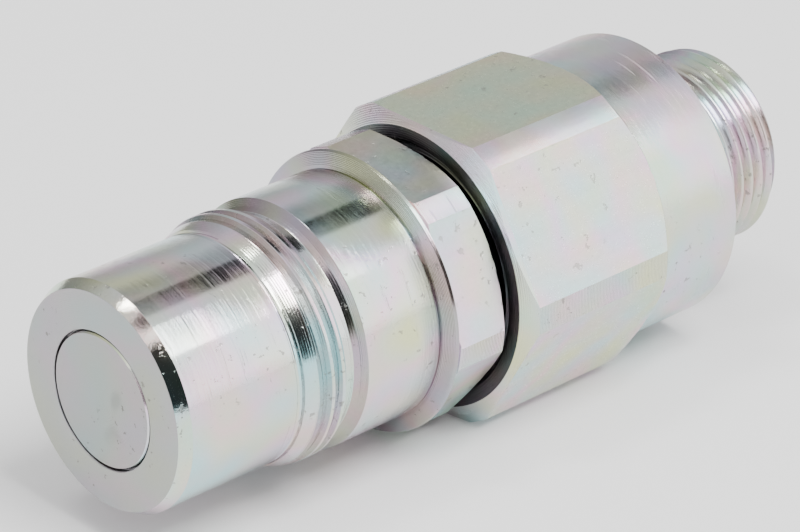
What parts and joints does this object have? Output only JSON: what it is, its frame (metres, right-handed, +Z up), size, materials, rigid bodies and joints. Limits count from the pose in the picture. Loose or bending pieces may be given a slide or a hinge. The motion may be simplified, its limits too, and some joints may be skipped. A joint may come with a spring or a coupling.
{
  "type": "liquid line quick coupling, male half",
  "caption": "Male half of a flat-face quick coupling in zinc-plated steel: flush sprung poppet in a round nose, locking groove, two wrench hexagons and a male port thread.",
  "frame": {"origin": "centre of the flat mating face, on the coupling's axis", "axes": "+X along the coupling's axis, from the mating face towards the port thread; +Z up, square to the top flat of the big hexagon; the coupling lies on the opposite flat"},
  "size_m": [0.1044, 0.0428, 0.0388],
  "materials": {
    "zinc_plate": "bright zinc plate with a light clear passivation, satin to glossy",
    "plain_steel": "turned steel, oiled",
    "spring_wire": "drawn spring steel",
    "seal_rubber": "moulded nitrile rubber, semi-matt",
    "backup_plastic": "white PTFE, matt"
  },
  "bodies": {
    "root": {"nipple_body": "zinc_plate", "poppet_seal": "seal_rubber", "poppet_backup": "backup_plastic", "poppet_spring": "spring_wire", "stem_guide": "plain_steel", "guide_snap_ring": "spring_wire", "rear_adaptor": "zinc_plate", "joint_seal": "seal_rubber", "joint_backup": "backup_plastic", "check_seat": "plain_steel", "check_seat_seal": "seal_rubber", "check_spring": "spring_wire", "check_guide": "plain_steel", "check_snap_ring": "spring_wire"},
    "poppet": {"poppet": "zinc_plate"},
    "pilot": {"pilot_pin": "plain_steel"},
    "check": {"check_poppet": "zinc_plate", "check_face_seal": "seal_rubber", "pilot_cap": "plain_steel", "pilot_spring": "spring_wire"}
  },
  "joints": [
    {"name": "poppet_slide", "type": "slide", "parent": "root", "child": "poppet", "axis": [1, 0, 0], "range_m": [0, 0.009], "stiffness_N_per_m": 3500, "springref_m": -0.01, "deforming": ["poppet_spring"]},
    {"name": "check_slide", "type": "slide", "parent": "root", "child": "check", "axis": [1, 0, 0], "range_m": [0, 0.006], "stiffness_N_per_m": 1200, "springref_m": -0.003, "deforming": ["check_spring"]},
    {"name": "pilot_slide", "type": "slide", "parent": "root", "child": "pilot", "axis": [1, 0, 0], "range_m": [0, 0.009], "stiffness_N_per_m": 400, "springref_m": -0.002, "deforming": ["pilot_spring"]}
  ],
  "couplings": [
    {"joint": "pilot_slide", "follows": "poppet_slide", "ratio": 1},
    {"joint": "check_slide", "follows": "poppet_slide", "ratio": 0.6666}
  ]
}
